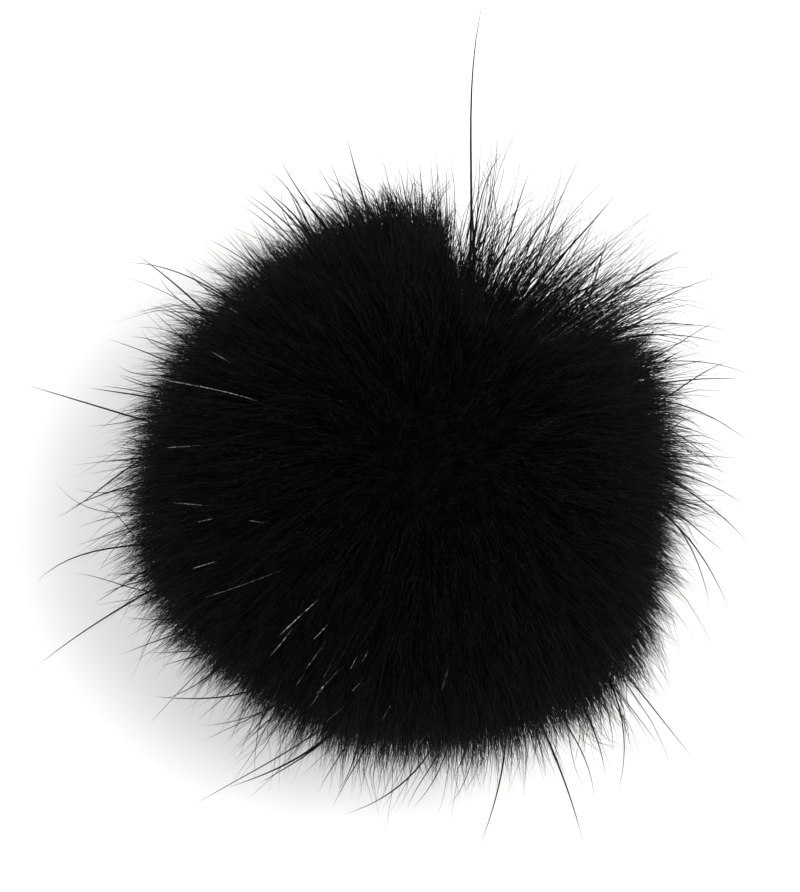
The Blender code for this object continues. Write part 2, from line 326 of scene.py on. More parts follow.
# One mesh of thin closed tubes, three-sided, each drawn in to a point at its tip. Its map
# has the shade of a hair across and its length, root to tip, upwards.
def hairMesh(name, paths, halfWidths, shades, seed):
    dice = np.random.default_rng(seed)
    sides = 3
    count, places = paths.shape[:2]
    rings = places - 1
    runs = np.diff(paths, axis=1)
    runs = unit(np.concatenate([runs[:, :1], runs[:, :-1] + runs[:, 1:]], 1) + 1e-12)
    side = unit(np.cross(runs, dice.normal(size=(count, 1, 3))))
    other = np.cross(runs, side)
    around = np.arange(sides) * 2 * math.pi / sides
    ring = side[:, :, None] * np.cos(around)[:, None] + other[:, :, None] * np.sin(around)[:, None]
    verts = paths[:, :rings, None] + ring * halfWidths[:, :rings, None, None]
    verts[..., 2] = np.maximum(verts[..., 2], tube["lowest"])
    perHair = rings * sides + 1
    verts = np.concatenate([verts.reshape(count, -1, 3), paths[:, -1:]], 1)

    # the corners of one hair's faces, each face's size, and the corners' places on the map
    corners, sizes, across, upward = [], [], [], []
    cap = tube["rootCap"]
    heights = [cap + (1 - cap) * k / rings for k in range(rings)]
    for r in range(rings - 1):
        for i in range(sides):
            j = (i + 1) % sides
            first, second = r * sides, (r + 1) * sides
            corners += [first + i, first + j, second + j, second + i]
            sizes.append(4)
            across += [i / sides, (i + 1) / sides, (i + 1) / sides, i / sides]
            upward += [heights[r], heights[r], heights[r + 1], heights[r + 1]]
    last = (rings - 1) * sides
    for i in range(sides):
        corners += [last + i, last + (i + 1) % sides, rings * sides]
        sizes.append(3)
        across += [i / sides, (i + 1) / sides, (i + 0.5) / sides]
        upward += [heights[-1], heights[-1], 1]
    corners += [2, 1, 0]
    sizes.append(3)
    across += [1, 0.5, 0]
    upward += [0, cap, 0]

    mesh = bpy.data.meshes.new(name)
    mesh.vertices.add(count * perHair)
    mesh.vertices.foreach_set("co", verts.astype(np.float32).ravel())
    loops = (np.array(corners) + perHair * np.arange(count)[:, None]).ravel()
    mesh.loops.add(len(loops))
    mesh.loops.foreach_set("vertex_index", loops.astype(np.int32))
    sizes = np.tile(sizes, count)
    starts = np.concatenate([[0], np.cumsum(sizes)[:-1]])
    mesh.polygons.add(len(sizes))
    mesh.polygons.foreach_set("loop_start", starts.astype(np.int32))
    mesh.update(calc_edges=True)
    u = np.array(across) * tube["column"] + (1 - tube["column"]) * shades[:, None]
    v = np.broadcast_to(np.array(upward), u.shape)
    layer = mesh.uv_layers.new(name="OFBake")
    layer.data.foreach_set("uv", np.stack([u, v], -1).astype(np.float32).ravel())
    mesh.shade_smooth()
    mesh.validate()
    return newObject(name, mesh)


# Shader maths: a socket that can be written in expressions
class Shade:
    def __init__(self, tree, socket):
        self.tree, self.socket = tree, socket

    def node(self, kind, settings=None, **inputs):
        made = self.tree.nodes.new(kind)
        for name, value in (settings or {}).items():
            if name == "stops":
                ramp = made.color_ramp
                while len(ramp.elements) < len(value):
                    ramp.elements.new(1)
                for element, (place, colour) in zip(ramp.elements, value):
                    element.position, element.color = place, (*colour, 1)
            else:
                setattr(made, name, value)
        for name, value in inputs.items():
            socket = made.inputs[int(name[1:])] if name[0] == "_" else made.inputs[name]
            if isinstance(value, Shade):
                self.tree.links.new(value.socket, socket)
            else:
                socket.default_value = value
        return made

    def of(self, made, output):
        return Shade(self.tree, made.outputs[output])

    def feed(self, socket):
        self.tree.links.new(self.socket, socket)

    def maths(self, operation, *values):
        inputs = {f"_{i}": value for i, value in enumerate(values)}
        return self.of(self.node("ShaderNodeMath", {"operation": operation}, **inputs), 0)

    def __add__(self, other):
        return self.maths("ADD", self, other)

    def __mul__(self, other):
        return self.maths("MULTIPLY", self, other)

    def __pow__(self, other):
        return self.maths("POWER", self, other)

    def __rpow__(self, other):
        return self.maths("POWER", other, self)

    __radd__, __rmul__ = __add__, __mul__


# A new material, its Principled shader with the settings that are the same all over, and a
# Shade to start expressions from
def newMaterial(name, settings):
    material = bpy.data.materials.new(name)
    material.use_nodes = True
    shader = material.node_tree.nodes["Principled BSDF"]
    for socket, value in settings.items():
        shader.inputs[socket].default_value = value
    return material, shader, Shade(material.node_tree, None)


hairFinish = {"Roughness": 0.4, "Specular IOR Level": 0.035}
hairColours = [  # across the map, from the commonest hair to the lightest, whose colour is a painted highlight
    (0.0, (0.003, 0.003, 0.0033)),
    (0.6, (0.0045, 0.0045, 0.005)),
    (0.85, (0.009, 0.009, 0.0105)),
    # the lightest stop: painted highlights and glints
    (0.97, (0.24, 0.23, 0.23)),
]
hairShades = {  # places across the map
    "pile": (1.3, 3.0),  # how the dull hairs are spread over the shades, as a beta curve
    "guards": (1.5, 3.0),
    "mostDull": 0.8,
    "longPaintedGlint": 0.9,  # the long hairs with a painted glint
    "paintedHighlight": (0.86, 1.0),  # the painted highlights, from the dullest to the brightest
}
hairLight = {"root": 0.6, "toTip": 0.25}  # darker at the root, where the next hairs shade it
hairStippleAndSparkle = {"scale": 2600.0, "detail": 1.0, "even": 2.0, "contrast": 4.0}  # and finely dappled: a stipple all over, which on the lighter hairs is painted sparkle


def hairMaterial():
    material, shader, start = newMaterial("black_hair", hairFinish)
    onMap = start.of(start.node("ShaderNodeUVMap", {"uv_map": "OFBake"}), "UV")
    split = start.node("ShaderNodeSeparateXYZ", _0=onMap)
    shade, length = start.of(split, "X"), start.of(split, "Y")
    ramp = start.node("ShaderNodeValToRGB", {"stops": hairColours}, Fac=shade)
    # Fine noise: a stipple over all the hairs, and painted sparkle along the painted highlights
    fine = start.node(
        "ShaderNodeTexNoise",
        Vector=start.of(start.node("ShaderNodeTexCoord"), "Object"),
        Scale=hairStippleAndSparkle["scale"],
        Detail=hairStippleAndSparkle["detail"],
    )
    stippleAndSparkle = start.of(fine, 0) * hairStippleAndSparkle["even"]
    light = (hairLight["root"] + hairLight["toTip"] * length) * stippleAndSparkle ** hairStippleAndSparkle["contrast"]
    dark = start.node(
        "ShaderNodeMix",
        {"data_type": "RGBA", "blend_type": "MULTIPLY"},
        _0=1.0,
        _6=start.of(ramp, "Color"),
        _7=light,
    )
    start.of(dark, 2).feed(shader.inputs["Base Color"])
    return material


blackHair = hairMaterial()


def dullShades(dice, curve, count):
    return np.clip(dice.beta(*curve, count), 0, hairShades["mostDull"])


def finishHair(piece):
    piece.data.materials.append(blackHair)
    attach(piece, "root")
    print(f"{piece.name}: {sum(len(p.vertices) - 2 for p in piece.data.polygons)} triangles")


# Stage 1: the ball of under-fur that the hairs grow through
core = {
    "below": 6.5 * mm,  # under the surface of the close fur
    "lumps": 0.8 * mm,
    "lumpSize": 3.0 * mm,
    "subdivisions": 5,
    "lowest": 0.15 * mm,
    "finish": {"Roughness": 0.9, "Specular IOR Level": 0.05},
    "colours": [(0.3, (0.0008, 0.0008, 0.001)), (0.75, (0.004, 0.004, 0.005))],
    "grain": {"Scale": 900.0, "Detail": 3.0},
    "bump": {"Strength": 0.8, "Distance": 0.4 * mm},
}


def coreMaterial():
    material, shader, start = newMaterial("close_under_fur", core["finish"])
    place = start.of(start.node("ShaderNodeTexCoord"), "Object")
    fine = start.of(start.node("ShaderNodeTexNoise", Vector=place, **core["grain"]), 0)
    ramp = start.node("ShaderNodeValToRGB", {"stops": core["colours"]}, Fac=fine)
    start.of(ramp, "Color").feed(shader.inputs["Base Color"])
    rough = start.node("ShaderNodeBump", Height=fine, **core["bump"])
    start.of(rough, "Normal").feed(shader.inputs["Normal"])
    return material


def makeCore():
    bm = bmesh.new()
    bmesh.ops.create_icosphere(bm, subdivisions=core["subdivisions"], radius=1.0)
    ways = unit(np.array([vert.co for vert in bm.verts]))
    places = surfaceAt(ways) - ways * core["below"]
    for vert, way, place in zip(bm.verts, ways, places):
        lump = noise.noise(Vector(place) / core["lumpSize"]) * core["lumps"]
        vert.co = Vector(place + way * lump)
        vert.co.z = max(vert.co.z, core["lowest"])
    mesh = bpy.data.meshes.new("fur_core")
    bm.to_mesh(mesh)
    bm.free()
    mesh.shade_smooth()
    mesh.materials.append(coreMaterial())
    piece = newObject("fur_core", mesh)
    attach(piece, "root")
    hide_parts("fur_ball")
    print(f"{piece.name}: {len(mesh.polygons)} triangles")


makeCore()

# Stage 2: the tufts that the hairs draw together into
tufts = {
    "count": 3000,
    "disorder": 0.5,
    "steps": 8,
    "rootDepth": 8.0 * mm,
    "lowest": -0.6 * mm,  # their tips, over the surface of the close fur
    "rise": 2.05 * mm,  # the mean of what they add to it
    "mostRise": 8.0 * mm,
    "past": 1.5 * mm,  # how far a tuft's path goes on past its tip
    "lean": 9,  # how unlike one another they lean and stray, in degrees
    "stray": 16,
}

# Where the fringe is longer or shorter: clock, share of its length, width in degrees
fringe = [
    (12, 0.25, 14),
    (47, -0.2, 10),
    (122, 0.28, 18),
    (180, -0.16, 14),
    (228, -0.24, 11),
    (255, 0.08, 8),
]


def makeTufts():
    dice = np.random.default_rng(21)
    ways = spread(tufts["count"], 22, tufts["disorder"])
    count = len(ways)
    rise = np.minimum(dice.exponential(tufts["rise"], count), tufts["mostRise"])
    edge = np.sqrt(np.clip(1 - (ways @ viewOut) ** 2, 0, 1))
    for clock, longer, width in fringe:
        rise *= 1 + longer * edge * bump(clockFrom(ways, clock), width)
    lean = dice.normal(size=count) * tufts["lean"]
    stray = dice.normal(size=count) * tufts["stray"]
    reach = tufts["lowest"] + rise + tufts["past"] + recess["longRise"][1] * recessShare(ways)
    return growPaths(ways, tufts["rootDepth"], reach, lean, stray, tufts["steps"]), ways, rise


tuftPaths, tuftWays, tuftRises = makeTufts()
print(f"{len(tuftWays)} tufts")

# Stage 3: the pile, hair by hair: the fine under-fur, the taller hairs that draw together
# into tufts, and the long hairs in the recess
underFur = {
    "pieces": 3,
    "hairs": 17600,  # in each piece
    "rootDepth": 8.0 * mm,
    "lowest": -1.5 * mm,
    "rise": 1.3 * mm,  # the mean of what the hairs add to that
    "lean": 9,
    "stray": 16,
    "hold": 0.3,  # how far a tip is drawn to its tuft
    "halfWidth": 0.046 * mm,
    "taper": [1.0, 0.8, 0.0],
}
tallFur = {
    "pieces": 2,
    "hairs": 10500,
    "rootDepth": 8.0 * mm,
    "lowest": -0.6 * mm,
    "tuftShare": (0.2, 1.0),  # of their tuft's rise
    "lean": 9,
    "stray": 16,
    "hold": 0.75,
    "halfWidth": 0.052 * mm,
    "taper": [1.0, 0.95, 0.7, 0.0],
}
longFur = {
    "recessOnly": True,
    "hairs": 21000,  # as many over the whole ball
    "rootDepth": 8.0 * mm,
    "lowest": -1.0 * mm,
    "rise": 0.5 * mm,
    "longShare": 1.0,  # of them, where the recess is barest, that stand up out of it
    "lean": 8,
    "stray": 16,
    "hold": 0.65,
    "halfWidth": 0.075 * mm,
    "taper": [1.0, 1.0, 0.95, 0.8, 0.6, 0.35, 0.0],
}
pile = {
    "disorder": 0.6,
    "holdSpread": 0.15,
    "mostHold": 0.97,
    "stoutness": (0.75, 1.25),
}


def makePile(name, fur, seed):
    dice = np.random.default_rng(seed)
    ways = spread(fur["hairs"], seed + 50, pile["disorder"])
    if fur.get("recessOnly"):
        ways = ways[dice.random(len(ways)) < recessShare(ways)]
    count = len(ways)
    bare = recessShare(ways)
    tuft = nearestOf(ways, tuftWays)
    if "tuftShare" in fur:
        rises = fur["lowest"] + tuftRises[tuft] * dice.uniform(*fur["tuftShare"], count)
    else:
        rises = fur["lowest"] + dice.exponential(fur["rise"], count)
    long = dice.random(count) < fur.get("longShare", 0) * bare
    rises += np.where(long, dice.uniform(*recess["longRise"], count), 0)
    lean = dice.normal(size=count) * fur["lean"]
    stray = dice.normal(size=count) * fur["stray"]
    paths = growPaths(ways, fur["rootDepth"], rises, lean, stray, len(fur["taper"]) - 1)
    hold = fur["hold"] + dice.normal(size=count) * pile["holdSpread"] + recess["hold"] * bare
    hold = np.clip(hold, 0, pile["mostHold"])
    paths = restOnFloor(drawTogether(paths, tuftPaths[tuft], hold))
    stout = dice.uniform(*pile["stoutness"], (count, 1))
    halfWidths = fur["halfWidth"] * stout * np.array(fur["taper"])
    shades = dullShades(dice, hairShades["pile"], count)
    # A share of the long hairs is coloured lighter: a painted glint
    shades[long & (dice.random(count) < recess["paintedGlintShare"])] = hairShades["longPaintedGlint"]
    finishHair(hairMesh(name, paths, halfWidths, shades, seed + 100))


for number in range(underFur["pieces"]):
    makePile(f"under_fur_{number + 1}", underFur, 100 + number)
for number in range(tallFur["pieces"]):
    makePile(f"tall_fur_{number + 1}", tallFur, 110 + number)
makePile("long_fur", longFur, 120)

# Stage 4: the guard hairs, stouter and longer than the pile, the stray hairs, which stand out
# furthest, and the hairs with painted highlights
guards = {
    "hairs": 2000,
    "disorder": 0.8,
    "lowestRoot": 5.0 * mm,  # over the floor
    "rootDepth": 7.0 * mm,
    "lowest": -0.5 * mm,
    "rise": 2.6 * mm,
    "mostRise": 12.0 * mm,
    "sideRise": 2.5 * mm,  # the most round the outline, where the stray hairs stand
    "sideBand": 20,  # how far to each side of the outline that is, in degrees
    "lean": 10,
    "stray": 20,
    "hold": 0.5,  # the most
    "halfWidth": 0.08 * mm,
    "stoutness": (0.6, 1.1),
    "taper": [1.0, 1.0, 0.9, 0.7, 0.4, 0.0],
}

# Each stray hair is placed by itself
strays = {
    "places": 13,  # points along each
    "halfWidth": 0.148 * mm,
    "taper": [1.0, 1.0, 0.97, 0.85, 0.66, 0.4, 0.0],
    "rooted": 6.0 * mm,  # how far one goes on inside the fur
    "inward": 0.6,  # how much that part is turned to the middle of the ball
    "aside": 11.0 * mm,  # the most that its root stands towards the view or away from it
}

# The stray hairs can be told apart round the outline and beside the parting: how stout each
# is, and points along it to its tip, across and up from the middle of the ball in the view,
# in mm
strayHairs = [
    (1.0, [(-25.5, 21.8), (-27.9, 24.0), (-31.6, 27.0), (-34.1, 28.8)]),
    (0.7, [(-24.4, 24.3), (-27.9, 26.0), (-31.1, 27.0), (-35.7, 27.4)]),
    (0.7, [(-26.0, 21.1), (-27.9, 22.7), (-29.5, 23.8), (-30.8, 25.8)]),
    (0.45, [(-27.0, 21.9), (-29.2, 23.5), (-32.4, 24.6), (-35.7, 25.9)]),
    (0.9, [(-26.6, 19.7), (-28.2, 20.8), (-30.2, 21.6), (-31.9, 22.1)]),
    (0.7, [(-26.6, 20.0), (-27.9, 21.1), (-29.2, 21.5), (-31.1, 22.6)]),
    (0.6, [(-27.3, 17.5), (-28.6, 18.6), (-30.0, 20.0), (-31.9, 21.8)]),
    (0.45, [(-27.6, 18.1), (-28.6, 18.6), (-30.5, 19.1), (-33.8, 19.2)]),
    (0.9, [(-27.0, 15.6), (-29.2, 16.7), (-31.7, 17.8), (-34.5, 18.2)]),
    (0.7, [(-28.6, 16.2), (-30.6, 16.8), (-33.0, 19.2)]),
    (0.7, [(-29.2, 14.9), (-31.3, 15.8), (-33.7, 16.7), (-37.2, 17.9)]),
    (0.7, [(-30.2, 13.2), (-32.5, 13.6), (-34.1, 13.5), (-36.1, 14.8)]),
    (0.7, [(-30.5, 11.7), (-32.9, 12.5), (-35.9, 13.6)]),
    (0.9, [(-19.3, 26.4), (-20.9, 27.7), (-22.5, 28.6)]),
    (0.7, [(-18.7, 26.7), (-20.6, 28.2), (-22.8, 29.4), (-24.9, 30.5)]),
    (0.9, [(-22.2, 25.1), (-23.8, 26.4), (-25.2, 27.3)]),
    (0.7, [(-24.1, 24.5), (-26.3, 25.9), (-27.8, 26.9)]),
    (0.7, [(-20.9, 25.6), (-22.2, 26.9), (-23.0, 27.4)]),
    (0.9, [(-24.1, 23.7), (-25.5, 24.6), (-27.0, 26.2)]),
    (0.5, [(-17.7, 27.8), (-19.3, 28.9), (-20.7, 29.7)]),
    (1.0, [(-10.1, 31.9), (-12.0, 34.4), (-13.3, 36.5), (-14.9, 39.1), (-15.8, 40.8)]),
    (0.8, [(-11.7, 31.6), (-12.9, 33.8), (-14.7, 36.7), (-15.7, 37.9), (-17.7, 39.4)]),
    (1.2, [(-10.1, 32.2), (-11.7, 34.1), (-12.9, 35.4), (-14.1, 36.2)]),
    (1.0, [(-12.9, 31.6), (-14.9, 33.5), (-16.5, 35.5), (-18.7, 37.6)]),
    (1.1, [(-12.9, 32.2), (-14.5, 34.1), (-15.5, 34.9), (-16.9, 36.0)]),
    (0.8, [(-13.6, 31.2), (-15.5, 32.8), (-16.9, 34.1), (-20.3, 36.3)]),
    (0.7, [(-14.4, 30.6), (-16.6, 32.8), (-18.4, 34.4), (-20.9, 36.0)]),
    (0.7, [(-14.7, 30.1), (-16.6, 31.9), (-19.0, 33.6), (-20.8, 35.0)]),
    (1.1, [(-7.8, 32.8), (-9.1, 33.8), (-10.2, 35.4), (-11.7, 36.5)]),
    (0.6, [(-7.5, 32.8), (-8.6, 35.1), (-9.8, 37.6), (-11.4, 40.0)]),
    (0.7, [(-6.9, 32.2), (-7.5, 35.1), (-8.3, 37.3), (-9.8, 40.7)]),
    (1.0, [(-4.9, 34.4), (-5.8, 37.6), (-6.6, 40.5), (-7.3, 43.5)]),
    (0.6, [(-1.6, 35.1), (-2.4, 38.7), (-3.1, 41.4)]),
    (0.6, [(-1.9, 34.8), (-2.6, 37.1), (-3.2, 38.9)]),
    (0.8, [(0.3, 34.4), (-0.4, 37.8), (-0.8, 39.4)]),
    (0.8, [(2.2, 34.8), (2.0, 37.6), (1.7, 40.5)]),
    (1.0, [(1.9, 32.8), (1.8, 36.0), (1.6, 37.8)]),
    (1.2, [(-5.8, 33.5), (-6.7, 35.5), (-7.8, 36.8)]),
    (0.6, [(-3.5, 35.1), (-3.9, 36.3), (-4.3, 37.3)]),
    (0.6, [(-10.7, 33.8), (-12.0, 35.4), (-13.3, 37.6)]),
    (0.8, [(25.2, 23.0), (28.1, 24.9), (31.0, 27.1), (33.3, 28.5), (35.4, 29.2)]),
    (0.7, [(25.8, 22.9), (28.7, 24.9), (30.7, 25.3), (33.6, 25.9)]),
    (0.7, [(27.8, 20.6), (30.1, 21.9), (33.6, 23.6), (36.7, 25.0), (40.6, 26.0)]),
    (0.45, [(29.3, 20.6), (32.4, 21.7), (35.9, 22.7)]),
    (0.8, [(27.0, 20.9), (28.7, 22.3), (30.4, 22.9)]),
    (0.7, [(27.2, 19.2), (30.4, 19.7), (33.3, 19.9), (37.3, 19.4), (41.9, 18.7)]),
    (0.7, [(29.8, 18.3), (32.4, 18.4), (35.6, 18.2), (40.3, 17.1)]),
    (0.6, [(32.4, 16.3), (35.0, 17.7), (37.3, 19.4), (40.3, 20.8)]),
    (0.5, [(32.4, 16.7), (34.4, 17.4), (37.6, 17.9)]),
    (0.8, [(32.7, 15.3), (34.4, 16.3), (35.6, 16.8)]),
    (0.6, [(33.3, 15.1), (36.7, 15.0), (39.6, 14.6), (44.2, 12.8)]),
    (0.8, [(32.8, 10.7), (35.9, 12.7), (39.0, 14.6), (41.7, 15.4)]),
    (0.9, [(32.1, 12.4), (36.4, 12.8), (39.4, 13.0), (42.6, 12.8)]),
    (0.45, [(33.6, 15.4), (35.6, 15.9), (38.0, 16.6)]),
    (0.5, [(32.4, 11.1), (34.7, 11.5), (37.3, 12.0)]),
    (0.8, [(32.1, 9.9), (34.2, 9.9), (38.1, 8.3), (40.9, 6.4), (43.7, 4.6)]),
    (0.5, [(33.0, 9.4), (35.6, 8.9), (39.2, 7.6)]),
    (0.9, [(33.9, 7.1), (34.8, 7.7), (36.2, 8.0)]),
    (0.7, [(33.7, 7.1), (35.6, 6.6), (38.3, 5.7)]),
    (0.7, [(33.9, 6.1), (36.0, 4.5), (38.8, 2.2), (40.4, 0.3)]),
    (1.0, [(32.8, 4.7), (34.6, 4.5), (36.3, 4.5)]),
    (0.5, [(34.6, 3.2), (37.7, 3.2), (42.3, 2.9)]),
    (0.8, [(33.2, 1.2), (36.3, 0.5), (39.5, -1.1), (43.2, -3.5)]),
    (0.8, [(33.5, 0.3), (35.6, -1.5), (38.1, -3.1), (40.6, -5.0), (43.2, -8.1)]),
    (0.7, [(33.9, -3.9), (36.0, -5.3), (38.3, -7.6), (40.6, -9.1)]),
    (0.9, [(32.5, -4.1), (34.4, -5.9), (36.3, -8.1), (38.5, -11.7), (40.7, -16.4)]),
    (0.8, [(33.0, -4.5), (34.6, -6.2), (36.3, -9.5), (37.4, -12.7), (38.3, -16.4)]),
    (0.7, [(32.7, -7.3), (33.9, -8.7), (35.3, -10.8)]),
    (0.7, [(32.3, -11.3), (33.9, -12.2), (35.3, -13.6)]),
    (0.5, [(35.3, -2.9), (37.4, -3.9), (39.2, -5.2)]),
    (0.5, [(34.2, 1.9), (36.7, 1.0), (39.3, -0.2)]),
    (1.1, [(33.2, 0.5), (35.3, -0.8), (37.6, -2.2)]),
    (0.6, [(31.5, -15.7), (32.9, -16.5), (34.0, -18.9)]),
    (0.6, [(30.3, -18.5), (31.5, -19.9), (33.0, -22.3)]),
    (0.8, [(27.1, -23.5), (29.5, -26.3), (32.3, -29.9), (36.7, -35.3)]),
    (0.7, [(26.7, -26.3), (29.5, -29.9), (32.4, -33.7)]),
    (0.5, [(27.1, -27.1), (29.1, -29.9), (30.8, -33.1)]),
    (0.7, [(26.1, -26.3), (27.1, -29.5), (27.4, -31.9), (27.1, -36.3), (26.3, -39.7)]),
    (0.5, [(26.7, -27.9), (27.9, -31.9), (28.8, -34.3)]),
    (0.7, [(24.7, -26.7), (25.7, -30.3), (26.0, -34.1)]),
    (1.0, [(22.5, -28.7), (24.1, -32.3), (24.7, -35.1), (25.1, -37.1)]),
    (0.5, [(23.9, -28.7), (25.5, -32.3), (26.1, -33.9)]),
    (0.8, [(19.8, -29.7), (22.3, -33.9), (23.1, -36.7), (23.7, -40.1)]),
    (0.5, [(20.4, -31.3), (21.0, -34.7), (22.6, -38.5)]),
    (0.6, [(21.2, -28.7), (22.3, -31.9), (22.3, -34.5)]),
    (1.1, [(17.2, -30.5), (19.2, -35.5), (20.8, -39.9), (21.9, -43.4), (22.3, -45.4)]),
    (0.7, [(16.2, -30.9), (17.2, -34.3), (17.7, -37.5)]),
    (1.0, [(28.7, -21.7), (29.9, -24.1), (30.3, -25.3)]),
    (0.6, [(23.7, -26.7), (24.5, -29.9), (24.3, -32.9)]),
    (0.7, [(18.4, -30.3), (19.0, -32.3), (19.1, -33.3)]),
    (0.9, [(2.3, -34.9), (0.1, -37.3), (-2.1, -39.0), (-5.6, -40.8), (-7.7, -41.6)]),
    (0.7, [(3.6, -34.9), (1.9, -37.6), (0.2, -41.0)]),
    (0.8, [(5.5, -32.7), (4.3, -35.9), (2.7, -38.7), (0.6, -41.1)]),
    (0.6, [(8.6, -33.3), (7.8, -36.8), (6.5, -39.0), (5.4, -40.6)]),
    (0.6, [(10.5, -32.7), (10.2, -35.9), (9.6, -38.3)]),
    (1.0, [(12.5, -32.7), (11.8, -37.5), (10.8, -41.3), (9.3, -45.7)]),
    (0.6, [(7.4, -33.9), (6.5, -36.2), (5.9, -37.8)]),
    (0.8, [(-2.0, -33.1), (-3.2, -35.2), (-4.0, -36.2)]),
    (0.5, [(11.6, -33.0), (11.5, -34.9), (11.4, -36.2)]),
    (0.5, [(9.4, -33.6), (9.5, -35.2), (9.0, -36.8)]),
    (0.8, [(-25.3, -21.5), (-27.5, -22.2), (-29.4, -22.6), (-30.5, -23.1)]),
    (0.8, [(-23.9, -23.7), (-27.0, -25.9), (-29.4, -26.8), (-30.3, -27.2)]),
    (0.9, [(-18.7, -25.9), (-21.7, -26.8), (-25.0, -27.0), (-29.4, -27.0), (-31.6, -26.8)]),
    (0.6, [(-22.4, -26.8), (-24.2, -28.3), (-26.0, -30.0)]),
    (0.7, [(-16.4, -28.1), (-19.1, -29.2), (-21.3, -29.9), (-25.5, -30.5)]),
    (0.6, [(-17.3, -28.6), (-20.2, -29.7), (-23.3, -31.6), (-25.5, -32.4)]),
    (0.6, [(-16.5, -29.4), (-19.1, -31.7), (-20.7, -33.3)]),
    (1.1, [(-10.5, -32.5), (-13.2, -34.3), (-15.8, -35.8), (-19.1, -37.1), (-22.2, -38.2)]),
    (0.9, [(-10.9, -33.0), (-13.6, -34.9), (-16.2, -36.5), (-18.6, -37.9)]),
    (0.7, [(-11.8, -32.1), (-15.1, -33.6), (-18.4, -35.8), (-22.0, -38.0), (-27.0, -40.7)]),
    (0.8, [(-7.4, -33.0), (-9.2, -35.8), (-10.9, -38.9)]),
    (1.0, [(-5.9, -32.8), (-7.0, -36.3), (-8.3, -38.5)]),
    (0.8, [(-5.0, -33.4), (-6.8, -36.5), (-9.1, -40.7)]),
    (1.0, [(-2.4, -33.0), (-3.7, -35.6), (-4.1, -36.3)]),
    (0.5, [(-8.8, -32.7), (-11.0, -34.9), (-12.9, -36.7)]),
    (1.0, [(-32.3, 7.6), (-38.4, 9.5), (-43.0, 10.8), (-47.9, 12.3)]),
    (1.1, [(-30.5, 10.3), (-34.3, 11.0), (-37.4, 11.4), (-39.7, 11.8)]),
    (0.8, [(-31.8, 11.0), (-35.4, 11.7), (-38.2, 12.0)]),
    (0.8, [(-31.3, 11.8), (-33.8, 12.4), (-35.9, 13.5)]),
    (0.6, [(-32.8, 7.9), (-36.1, 7.3), (-39.7, 7.0)]),
    (0.9, [(-32.6, 4.9), (-34.1, 5.4), (-35.7, 6.0)]),
    (0.7, [(-33.8, 3.0), (-35.4, 2.8), (-37.3, 2.3)]),
    (0.9, [(-33.8, 2.2), (-37.2, -0.1), (-40.0, -2.4), (-43.7, -4.5)]),
    (0.9, [(-33.8, -0.3), (-37.7, -1.6), (-40.0, -2.3), (-42.3, -3.5)]),
    (0.5, [(-34.3, -3.8), (-38.7, -3.8), (-40.7, -2.4), (-43.9, 0.3)]),
    (0.6, [(-34.3, -6.2), (-36.6, -3.6), (-39.2, -2.6)]),
    (0.6, [(-33.8, -4.0), (-37.4, -4.6), (-40.9, -5.7)]),
    (0.6, [(-34.3, -5.8), (-37.9, -6.9), (-41.5, -8.1)]),
    (1.0, [(-32.8, -7.9), (-36.6, -8.2), (-39.2, -8.7), (-43.0, -10.3), (-46.3, -12.7)]),
    (0.6, [(-34.3, -13.2), (-37.2, -12.3), (-41.6, -11.4)]),
    (0.9, [(-32.3, -11.0), (-35.6, -13.1), (-38.9, -15.2)]),
    (0.8, [(-32.8, -11.3), (-34.9, -11.5), (-36.8, -11.7)]),
    (0.8, [(-33.8, -12.6), (-36.1, -13.3), (-38.0, -14.2)]),
    (1.0, [(-31.3, -13.2), (-34.3, -15.1), (-37.9, -17.3), (-41.7, -19.7), (-46.3, -23.3)]),
    (0.7, [(-28.0, -17.0), (-31.5, -17.2), (-35.4, -16.8)]),
    (0.9, [(-27.2, -18.4), (-31.5, -20.0), (-35.6, -21.6)]),
    (0.5, [(-27.7, -21.2), (-30.3, -21.3), (-32.6, -21.4)]),
    (0.6, [(-33.8, -0.6), (-35.9, -1.1), (-41.5, -0.7)]),
    (1.1, [(8.3, 28.7), (8.4, 31.9), (8.3, 35.7), (8.1, 40.5), (8.0, 45.2), (8.9, 52.9), (10.1, 61.8)]),
    (1.6, [(8.6, 27.0), (8.5, 31.0), (8.3, 35.0), (8.1, 38.5)]),
    (1.1, [(9.8, 23.4), (10.6, 26.1), (11.7, 28.8), (13.1, 31.5)]),
    (1.0, [(12.3, 28.8), (13.4, 30.4), (14.7, 32.6), (15.8, 34.7)]),
    (1.2, [(17.2, 24.7), (18.8, 27.1), (20.4, 29.0), (22.0, 31.5)]),
    (1.1, [(19.6, 24.4), (21.5, 26.1), (23.9, 27.7), (25.6, 30.1)]),
    (1.0, [(22.8, 24.2), (25.0, 25.2), (26.9, 26.9)]),
    (1.0, [(13.4, 23.4), (14.4, 25.5), (15.8, 28.2), (17.2, 30.9)]),
    (0.9, [(10.4, 27.7), (10.6, 30.4), (10.6, 32.6)]),
    (0.9, [(7.1, 27.7), (6.6, 30.4), (6.0, 33.1)]),
    (1.0, [(25.0, 19.0), (27.7, 20.9), (30.4, 22.5)]),
    (0.6, [(8.8, 30.9), (9.1, 34.7), (9.3, 39.0), (9.5, 43.3)]),
    (0.8, [(8.7, 31.1), (9.1, 34.0), (10.1, 37.4), (11.3, 40.0), (13.5, 42.6)]),
    (0.9, [(12.8, 29.7), (13.7, 33.3), (14.7, 36.2), (15.8, 39.5)]),
    (0.7, [(16.1, 27.1), (18.0, 31.6), (19.2, 34.7), (20.9, 38.8), (22.8, 41.8)]),
    (0.5, [(18.0, 27.6), (19.2, 30.7), (20.4, 33.3), (21.9, 36.5)]),
